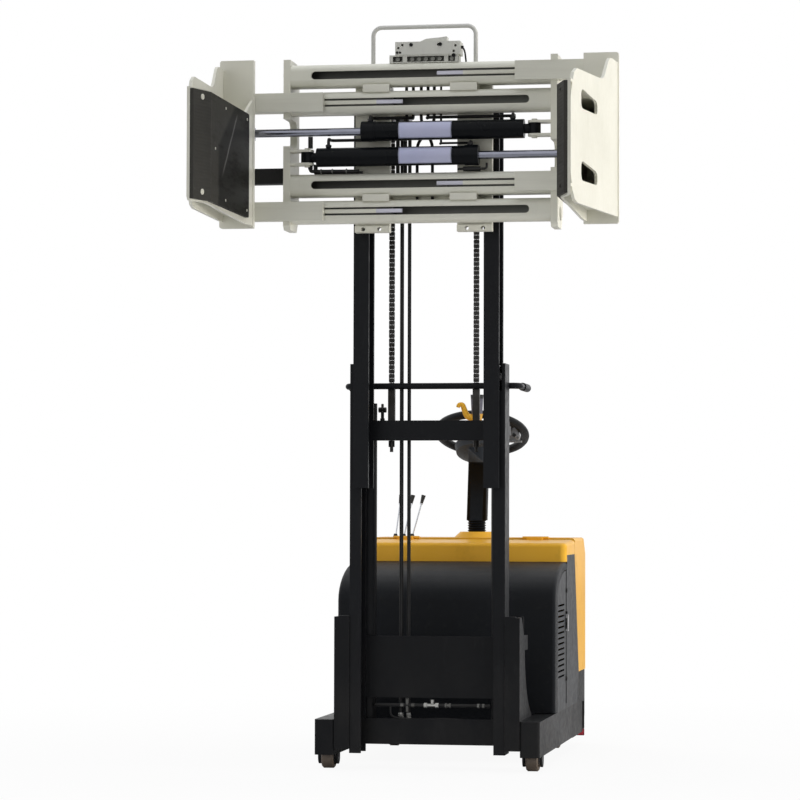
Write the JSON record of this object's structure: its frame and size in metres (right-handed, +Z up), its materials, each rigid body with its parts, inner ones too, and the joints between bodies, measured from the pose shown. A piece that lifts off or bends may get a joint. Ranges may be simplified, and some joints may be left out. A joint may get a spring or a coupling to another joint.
{
  "type": "bale clamp forklift",
  "caption": "Stand-on electric stacker with straddle legs, a raised telescopic mast and a bale clamp whose padded arms slide together.",
  "frame": {"origin": "on the ground, under the middle of the overall width and length", "axes": "+Z up; +Y from the clamp arms to the operator's end; +X across the truck, to the viewer's right when the clamp faces the viewer"},
  "size_m": [1.39, 2.5144, 2.605],
  "materials": {
    "frame_black": "satin paint on welded steel",
    "mast_black": "satin paint on rolled mast channel",
    "cover_black": "blue-black moulded cover",
    "panel_grey": "dark grey textured paint",
    "hood_yellow": "amber yellow moulded cover",
    "battery_case": "plain battery case",
    "trim_black": "black trim",
    "grip_grey": "grey moulded grip",
    "lever_steel": "plated lever with black knob",
    "bearing_steel": "machined steel",
    "chain_steel": "oiled leaf chain",
    "hose_rubber": "smooth hose",
    "wheel_black": "moulded steering wheel",
    "tyre_tan": "tan polyurethane tread",
    "rod_chrome": "ground chrome",
    "clamp_cream": "cream paint on welded steel",
    "slide_steel": "cream paint with bright worn bar",
    "cylinder_black": "black gloss paint",
    "pad_rubber": "ribbed clamp rubber"
  },
  "bodies": {
    "chassis": {"chassis_frame": "frame_black", "mast_supports": "frame_black", "front_cover": "cover_black", "side_panel_right": "panel_grey", "side_panel_left": "panel_grey", "rear_cowl": "hood_yellow", "battery": "battery_case", "steering_column": "trim_black", "control_grip": "grip_grey", "control_levers": "lever_steel", "grab_rail": "mast_black", "outer_mast": "mast_black", "outer_mast_rollers": "bearing_steel", "lift_cylinders": "mast_black", "chain_anchors": "chain_steel", "hose_manifold": "bearing_steel", "chains_rear": "chain_steel", "hoses_rear": "hose_rubber", "front_axles": "bearing_steel", "platform_hinge": "frame_black"},
    "hood": {"battery_hood": "hood_yellow"},
    "steering": {"steering_wheel": "wheel_black"},
    "load_wheel_right": {"front_wheel_right": "tyre_tan"},
    "load_wheel_left": {"front_wheel_left": "tyre_tan"},
    "drive_knuckle": {"drive_unit": "frame_black"},
    "drive_wheel_turn": {"drive_wheel": "tyre_tan"},
    "caster_right": {"caster_fork_right": "bearing_steel"},
    "caster_left": {"caster_fork_left": "bearing_steel"},
    "caster_wheel_right_turn": {"caster_wheel_right": "tyre_tan"},
    "caster_wheel_left_turn": {"caster_wheel_left": "tyre_tan"},
    "platform": {"rear_platform": "frame_black"},
    "mast_stage": {"inner_mast": "mast_black", "inner_mast_rollers": "bearing_steel", "lift_rods": "rod_chrome", "chain_sheaves": "bearing_steel", "chain_turns": "chain_steel"},
    "carriage": {"carriage_plates": "clamp_cream", "carriage_rollers": "bearing_steel", "chains_front": "chain_steel", "hoses_front": "hose_rubber", "clamp_guides": "clamp_cream", "clamp_end_plates": "clamp_cream", "stop_bars": "trim_black", "clamp_cylinder_left": "cylinder_black", "clamp_cylinder_right": "cylinder_black", "valve_block": "clamp_cream", "guard_hoop": "clamp_cream"},
    "right_arm": {"right_arm_frame": "clamp_cream", "right_arm_pad": "pad_rubber", "right_arm_slides": "slide_steel", "right_cylinder_rod": "rod_chrome"},
    "left_arm": {"left_arm_frame": "clamp_cream", "left_arm_pad": "pad_rubber", "left_arm_slides": "slide_steel", "left_cylinder_rod": "rod_chrome"}
  },
  "joints": [
    {"name": "hood_hinge", "type": "hinge", "parent": "chassis", "child": "hood", "pos_m": [0, 0.79683, 0.806], "axis": [-1, 0, 0], "range_deg": [0, 70]},
    {"name": "knuckle_steer", "type": "hinge", "parent": "chassis", "child": "drive_knuckle", "pos_m": [0, 0.98083, 0.27], "axis": [0, 0, 1], "range_deg": [-90, 90]},
    {"name": "wheel_steer", "type": "hinge", "parent": "chassis", "child": "steering", "pos_m": [0, 1.08583, 1.213], "axis": [0, 0.4147, 0.91], "range_deg": [-360, 360]},
    {"name": "drive_wheel_spin", "type": "hinge", "parent": "drive_knuckle", "child": "drive_wheel_turn", "pos_m": [0, 0.98083, 0.115], "axis": [1, 0, 0], "continuous": true},
    {"name": "load_wheel_right_spin", "type": "hinge", "parent": "chassis", "child": "load_wheel_right", "pos_m": [0.363, -0.15817, 0.041], "axis": [1, 0, 0], "continuous": true},
    {"name": "load_wheel_left_spin", "type": "hinge", "parent": "chassis", "child": "load_wheel_left", "pos_m": [-0.363, -0.15817, 0.041], "axis": [1, 0, 0], "continuous": true},
    {"name": "caster_right_swivel", "type": "hinge", "parent": "chassis", "child": "caster_right", "pos_m": [0.312, 0.87583, 0.1], "axis": [0, 0, 1], "continuous": true},
    {"name": "caster_left_swivel", "type": "hinge", "parent": "chassis", "child": "caster_left", "pos_m": [-0.312, 0.87583, 0.1], "axis": [0, 0, 1], "continuous": true},
    {"name": "caster_wheel_right_spin", "type": "hinge", "parent": "caster_right", "child": "caster_wheel_right_turn", "pos_m": [0.312, 0.89783, 0.05], "axis": [1, 0, 0], "continuous": true},
    {"name": "caster_wheel_left_spin", "type": "hinge", "parent": "caster_left", "child": "caster_wheel_left_turn", "pos_m": [-0.312, 0.89783, 0.05], "axis": [1, 0, 0], "continuous": true},
    {"name": "platform_fold", "type": "hinge", "parent": "chassis", "child": "platform", "pos_m": [0, 1.19583, 0.12], "axis": [-1, 0, 0], "range_deg": [0, 90]},
    {"name": "mast_lift", "type": "slide", "parent": "chassis", "child": "mast_stage", "axis": [0, 0, 1], "range_m": [-0.9, 0], "deforming": ["chains_rear", "hoses_rear"]},
    {"name": "carriage_lift", "type": "slide", "parent": "mast_stage", "child": "carriage", "axis": [0, 0, 1], "range_m": [-0.9, 0], "deforming": ["chains_front", "hoses_front"]},
    {"name": "right_arm_slide", "type": "slide", "parent": "carriage", "child": "right_arm", "axis": [-1, 0, 0], "range_m": [-0.05, 0.34]},
    {"name": "left_arm_slide", "type": "slide", "parent": "carriage", "child": "left_arm", "axis": [1, 0, 0], "range_m": [-0.05, 0.34]}
  ],
  "couplings": [
    {"joint": "carriage_lift", "follows": "mast_lift", "ratio": 1},
    {"joint": "wheel_steer", "follows": "knuckle_steer", "ratio": -4}
  ]
}
